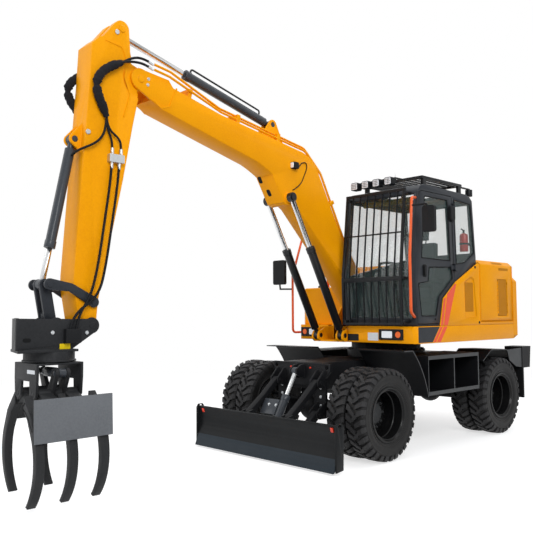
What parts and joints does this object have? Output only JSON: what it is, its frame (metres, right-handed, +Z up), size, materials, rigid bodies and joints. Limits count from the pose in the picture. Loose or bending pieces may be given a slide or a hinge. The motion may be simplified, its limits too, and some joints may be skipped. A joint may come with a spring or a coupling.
{
  "type": "wheeled excavator",
  "caption": "Wheeled excavator with a guarded cab, mono boom, arm, turning timber grab with tined jaws, and a front dozer blade.",
  "frame": {"origin": "on the ground under the middle of the whole machine's box", "axes": "+X forward, towards the blade and the grab; +Y to the machine's left, the cab side; +Z up"},
  "size_m": [7.395, 3.0095, 4.6169],
  "materials": {
    "amber_paint": "amber machine paint",
    "dark_paint": "dark charcoal paint",
    "black_paint": "black paint",
    "rail_paint": "orange-red paint",
    "grey_paint": "dark grey paint",
    "rod_chrome": "polished rod",
    "tyre_rubber": "worn tyre rubber",
    "glass": "clear glass",
    "seat_fabric": "woven seat cloth",
    "trim": "moulded plastic",
    "cast": "cast engine"
  },
  "bodies": {
    "chassis": {"chassis_frame": "dark_paint", "side_boxes": "dark_paint", "wheel_covers": "dark_paint", "axles": "dark_paint", "drive_line": "dark_paint"},
    "knuckle_left": {"knuckle_left": "dark_paint"},
    "knuckle_right": {"knuckle_right": "dark_paint"},
    "wheels_front_left": {"tyres_front_left": "tyre_rubber", "rims_front_left": "black_paint"},
    "wheels_front_right": {"tyres_front_right": "tyre_rubber", "rims_front_right": "black_paint"},
    "wheels_rear_left": {"tyres_rear_left": "tyre_rubber", "rims_rear_left": "black_paint"},
    "wheels_rear_right": {"tyres_rear_right": "tyre_rubber", "rims_rear_right": "black_paint"},
    "blade": {"blade": "dark_paint"},
    "blade_upper_links": {"blade_upper_links": "dark_paint"},
    "blade_lower_arms": {"blade_lower_arms": "dark_paint"},
    "blade_ram_barrel": {"blade_ram_barrel": "black_paint"},
    "blade_ram_rod": {"blade_ram_rod": "rod_chrome"},
    "upper": {"platform": "dark_paint", "counterweight": "amber_paint", "engine_covers": "amber_paint", "tank_box": "amber_paint", "engine_block": "cast", "handrails": "rail_paint", "cab_shell": "dark_paint", "cab_glass": "glass", "front_guard": "black_paint", "roof_guard": "black_paint", "seat": "seat_fabric", "steering_column": "trim"},
    "door": {"door": "dark_paint", "door_glass": "glass"},
    "boom": {"boom": "amber_paint"},
    "boom_ram_barrels": {"boom_ram_barrels": "black_paint"},
    "boom_ram_rods": {"boom_ram_rods": "rod_chrome"},
    "arm": {"arm": "amber_paint"},
    "arm_ram_barrel": {"arm_ram_barrel": "grey_paint"},
    "arm_ram_rod": {"arm_ram_rod": "rod_chrome"},
    "tool_bracket": {"tool_bracket": "grey_paint"},
    "idler_links": {"idler_links": "grey_paint"},
    "push_link": {"push_link": "grey_paint"},
    "tool_ram_barrel": {"tool_ram_barrel": "grey_paint"},
    "tool_ram_rod": {"tool_ram_rod": "rod_chrome"},
    "grab_frame": {"grab_frame": "grey_paint"},
    "jaw_near": {"jaw_near": "grey_paint"},
    "jaw_far": {"jaw_far": "grey_paint"},
    "grab_ram_barrel": {"grab_ram_barrel": "grey_paint"},
    "grab_ram_rod": {"grab_ram_rod": "rod_chrome"}
  },
  "joints": [
    {"name": "steer_left", "type": "hinge", "parent": "chassis", "child": "knuckle_left", "pos_m": [-0.182, 0.64, 0.525], "axis": [0, 0, 1], "range_deg": [-30, 30]},
    {"name": "steer_right", "type": "hinge", "parent": "chassis", "child": "knuckle_right", "pos_m": [-0.182, -0.64, 0.525], "axis": [0, 0, 1], "range_deg": [-30, 30]},
    {"name": "wheels_front_left_spin", "type": "hinge", "parent": "knuckle_left", "child": "wheels_front_left", "pos_m": [-0.182, 0.779, 0.525], "axis": [0, 1, 0], "continuous": true},
    {"name": "wheels_rear_left_spin", "type": "hinge", "parent": "chassis", "child": "wheels_rear_left", "pos_m": [-2.802, 0.779, 0.525], "axis": [0, 1, 0], "continuous": true},
    {"name": "wheels_front_right_spin", "type": "hinge", "parent": "knuckle_right", "child": "wheels_front_right", "pos_m": [-0.182, -0.779, 0.525], "axis": [0, 1, 0], "continuous": true},
    {"name": "wheels_rear_right_spin", "type": "hinge", "parent": "chassis", "child": "wheels_rear_right", "pos_m": [-2.802, -0.779, 0.525], "axis": [0, 1, 0], "continuous": true},
    {"name": "blade_lift", "type": "hinge", "parent": "chassis", "child": "blade_lower_arms", "pos_m": [0.148, 0, 0.48], "axis": [0, -1, 0], "range_deg": [-8, 38]},
    {"name": "blade_link_turn", "type": "hinge", "parent": "chassis", "child": "blade_upper_links", "pos_m": [0.128, 0, 0.85], "axis": [0, -1, 0], "range_deg": [-8, 38]},
    {"name": "blade_level", "type": "hinge", "parent": "blade_lower_arms", "child": "blade", "pos_m": [0.618, 0, 0.11], "axis": [0, -1, 0], "range_deg": [-38, 8]},
    {"name": "blade_ram_turn", "type": "hinge", "parent": "blade", "child": "blade_ram_barrel", "pos_m": [0.548, 0, 0.26], "axis": [0, -1, 0], "range_deg": [-5.9, 26.9]},
    {"name": "blade_ram_stroke", "type": "slide", "parent": "blade_ram_barrel", "child": "blade_ram_rod", "axis": [-0.5065, 0, 0.8622], "range_m": [-0.1778, 0.039]},
    {"name": "slew", "type": "hinge", "parent": "chassis", "child": "upper", "pos_m": [-1.712, 0, 1.31], "axis": [0, 0, 1], "continuous": true},
    {"name": "door_open", "type": "hinge", "parent": "upper", "child": "door", "pos_m": [-1.517, 1.246, 2.25], "axis": [0, 0, 1], "range_deg": [0, 165]},
    {"name": "boom_lift", "type": "hinge", "parent": "upper", "child": "boom", "pos_m": [-1.192, -0.08, 1.72], "axis": [0, -1, 0], "range_deg": [-40, 24]},
    {"name": "boom_ram_turn", "type": "hinge", "parent": "upper", "child": "boom_ram_barrels", "pos_m": [-0.602, -0.08, 1.39], "axis": [0, -1, 0], "range_deg": [-41.9, 25.3]},
    {"name": "boom_ram_stroke", "type": "slide", "parent": "boom_ram_barrels", "child": "boom_ram_rods", "axis": [0.4719, 0, 0.8816], "range_m": [-0.4348, 0.2617]},
    {"name": "arm_swing", "type": "hinge", "parent": "boom", "child": "arm", "pos_m": [2.434, -0.08, 4.07], "axis": [0, 1, 0], "range_deg": [-75, 30]},
    {"name": "arm_ram_turn", "type": "hinge", "parent": "boom", "child": "arm_ram_barrel", "pos_m": [0.478, -0.08, 3.985], "axis": [0, -1, 0], "range_deg": [-2.4, 5.6]},
    {"name": "arm_ram_stroke", "type": "slide", "parent": "arm_ram_barrel", "child": "arm_ram_rod", "axis": [0.9699, 0, 0.2435], "range_m": [-0.5583, 0.2245]},
    {"name": "tool_tilt", "type": "hinge", "parent": "arm", "child": "tool_bracket", "pos_m": [2.968, -0.08, 1.578], "axis": [0, -1, 0], "range_deg": [-75, 35]},
    {"name": "idler_turn", "type": "hinge", "parent": "arm", "child": "idler_links", "pos_m": [2.948, -0.08, 1.795], "axis": [0, -1, 0], "range_deg": [-59.8, 28.1]},
    {"name": "push_link_turn", "type": "hinge", "parent": "idler_links", "child": "push_link", "pos_m": [3.393, -0.08, 1.955], "axis": [0, -1, 0], "range_deg": [-14.7, 31]},
    {"name": "tool_ram_turn", "type": "hinge", "parent": "arm", "child": "tool_ram_barrel", "pos_m": [3.113, -0.08, 3.35], "axis": [0, -1, 0], "range_deg": [-2.5, 1.4]},
    {"name": "tool_ram_stroke", "type": "slide", "parent": "tool_ram_barrel", "child": "tool_ram_rod", "axis": [0.1968, 0, -0.9804], "range_m": [-0.2127, 0.4536]},
    {"name": "rotator", "type": "hinge", "parent": "tool_bracket", "child": "grab_frame", "pos_m": [3.308, -0.08, 1.25], "axis": [0, 0, 1], "continuous": true},
    {"name": "jaw_near_close", "type": "hinge", "parent": "grab_frame", "child": "jaw_near", "pos_m": [3.308, 0.07, 0.975], "axis": [-1, 0, 0], "range_deg": [-15, 24]},
    {"name": "jaw_far_close", "type": "hinge", "parent": "grab_frame", "child": "jaw_far", "pos_m": [3.308, -0.23, 0.975], "axis": [1, 0, 0], "range_deg": [-15, 24]},
    {"name": "grab_ram_turn", "type": "hinge", "parent": "jaw_near", "child": "grab_ram_barrel", "pos_m": [3.308, 0.16, 1.16], "axis": [-1, 0, 0], "range_deg": [-24, 15]},
    {"name": "grab_ram_stroke", "type": "slide", "parent": "grab_ram_barrel", "child": "grab_ram_rod", "axis": [0, -1, 0], "range_m": [-0.0931, 0.1477]}
  ],
  "couplings": [
    {"joint": "steer_right", "follows": "steer_left", "ratio": 1},
    {"joint": "blade_link_turn", "follows": "blade_lift", "ratio": 1},
    {"joint": "blade_level", "follows": "blade_lift", "ratio": -1},
    {"joint": "blade_ram_turn", "follows": "blade_lift", "ratio": 0.7},
    {"joint": "blade_ram_stroke", "follows": "blade_lift", "m_per_rad": -0.265},
    {"joint": "boom_ram_turn", "follows": "boom_lift", "ratio": 1.04},
    {"joint": "boom_ram_stroke", "follows": "boom_lift", "m_per_rad": 0.62},
    {"joint": "arm_ram_turn", "follows": "arm_swing", "ratio": -0.07},
    {"joint": "arm_ram_stroke", "follows": "arm_swing", "m_per_rad": 0.425},
    {"joint": "idler_turn", "follows": "tool_tilt", "ratio": 0.793},
    {"joint": "push_link_turn", "follows": "tool_tilt", "ratio": -0.41},
    {"joint": "tool_ram_turn", "follows": "tool_tilt", "ratio": 0.03},
    {"joint": "tool_ram_stroke", "follows": "tool_tilt", "m_per_rad": -0.345},
    {"joint": "jaw_far_close", "follows": "jaw_near_close", "ratio": 1},
    {"joint": "grab_ram_turn", "follows": "jaw_near_close", "ratio": -1},
    {"joint": "grab_ram_stroke", "follows": "jaw_near_close", "m_per_rad": 0.3479}
  ]
}
